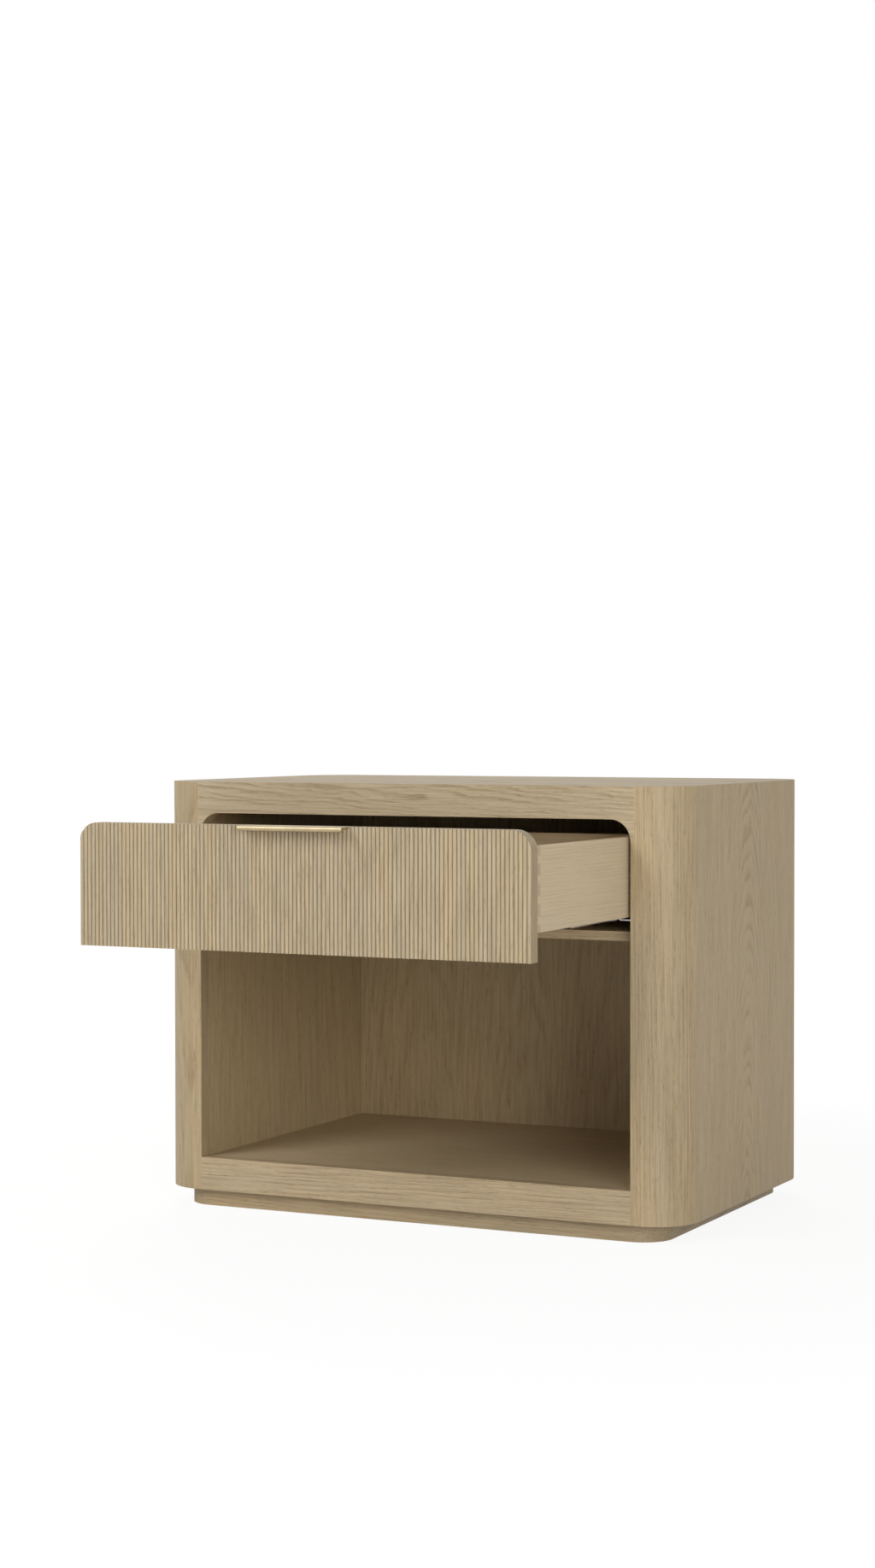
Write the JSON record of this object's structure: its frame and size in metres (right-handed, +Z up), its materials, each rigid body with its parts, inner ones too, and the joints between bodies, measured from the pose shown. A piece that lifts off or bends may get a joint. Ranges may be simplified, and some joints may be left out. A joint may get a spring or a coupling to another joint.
{
  "type": "open-shelf nightstand",
  "caption": "Round-cornered wooden nightstand on a recessed plinth, with a reeded drawer that slides out under its top on hidden slides and an open shelf below.",
  "frame": {"origin": "on the floor, under the middle of the case's footprint", "axes": "+X to the right of someone facing the drawer, +Y to the back, +Z up; the drawer opens towards -Y and stands open in the stored pose"},
  "size_m": [0.762, 0.8, 0.575],
  "materials": {
    "top_oak": "satin clear-coated limed oak",
    "upright_oak": "satin clear-coated limed oak, grain upright",
    "rail_oak": "satin clear-coated limed oak, grain along the rail",
    "back_oak": "satin clear-coated limed oak, grain upright",
    "liner_oak": "satin clear-coated limed oak, grain upright",
    "shelf_oak": "satin clear-coated limed oak, grain across the opening",
    "lipping_oak": "satin clear-coated limed oak, grain across the opening",
    "plinth_oak": "satin clear-coated limed oak, a little darker",
    "plinth_side_oak": "satin clear-coated limed oak, a little darker",
    "block_softwood": "plain sawn softwood",
    "dowel_beech": "fluted beech dowel",
    "reeded_oak": "satin clear-coated limed oak worked into upright reeds",
    "box_side_oak": "satin clear-coated limed oak, grain along the side",
    "box_end_oak": "satin clear-coated limed oak, end grain at the pins",
    "bottom_ply": "oak-faced plywood",
    "satin_brass": "satin brass",
    "zinc_steel": "bright zinc-plated sheet steel",
    "screw_steel": "zinc-plated steel",
    "grey_plastic": "moulded grey plastic"
  },
  "bodies": {
    "case": {"top_panel": "top_oak", "front_left_post": "upright_oak", "front_right_post": "upright_oak", "back_left_post": "upright_oak", "back_right_post": "upright_oak", "left_side_panel": "upright_oak", "right_side_panel": "upright_oak", "top_rail_front": "rail_oak", "bottom_rail_front": "rail_oak", "top_rail_back": "rail_oak", "bottom_rail_back": "rail_oak", "back_panel": "back_oak", "left_liner_panel": "liner_oak", "right_liner_panel": "liner_oak", "shelf_panel": "shelf_oak", "divider_panel": "shelf_oak", "base_panel": "shelf_oak", "divider_lipping": "lipping_oak", "plinth_front": "plinth_oak", "plinth_back": "plinth_oak", "plinth_left": "plinth_side_oak", "plinth_right": "plinth_side_oak", "plinth_brace": "block_softwood", "plinth_corner_blocks": "block_softwood", "left_slide_batten": "block_softwood", "right_slide_batten": "block_softwood", "case_dowels": "dowel_beech", "left_slide_case_rail": "zinc_steel", "right_slide_case_rail": "zinc_steel", "slide_screws": "screw_steel", "plinth_screws": "screw_steel"},
    "drawer": {"drawer_front": "reeded_oak", "drawer_pull": "satin_brass", "pull_screws": "satin_brass", "drawer_box_front": "box_end_oak", "drawer_box_back": "box_end_oak", "drawer_side_left": "box_side_oak", "drawer_side_right": "box_side_oak", "drawer_bottom": "bottom_ply", "front_fixing_screws": "screw_steel", "left_locking_clip": "grey_plastic", "right_locking_clip": "grey_plastic", "clip_screws": "screw_steel", "left_slide_drawer_rail": "zinc_steel", "right_slide_drawer_rail": "zinc_steel"},
    "left_slide_middle": {"left_slide_middle_rail": "zinc_steel"},
    "right_slide_middle": {"right_slide_middle_rail": "zinc_steel"}
  },
  "joints": [
    {"name": "drawer_slide", "type": "slide", "parent": "case", "child": "drawer", "axis": [0, -1, 0], "range_m": [-0.298, 0.055]},
    {"name": "left_middle_slide", "type": "slide", "parent": "case", "child": "left_slide_middle", "axis": [0, -1, 0], "range_m": [-0.149, 0.0275]},
    {"name": "right_middle_slide", "type": "slide", "parent": "case", "child": "right_slide_middle", "axis": [0, -1, 0], "range_m": [-0.149, 0.0275]}
  ],
  "couplings": [
    {"joint": "left_middle_slide", "follows": "drawer_slide", "ratio": 0.5},
    {"joint": "right_middle_slide", "follows": "drawer_slide", "ratio": 0.5}
  ]
}
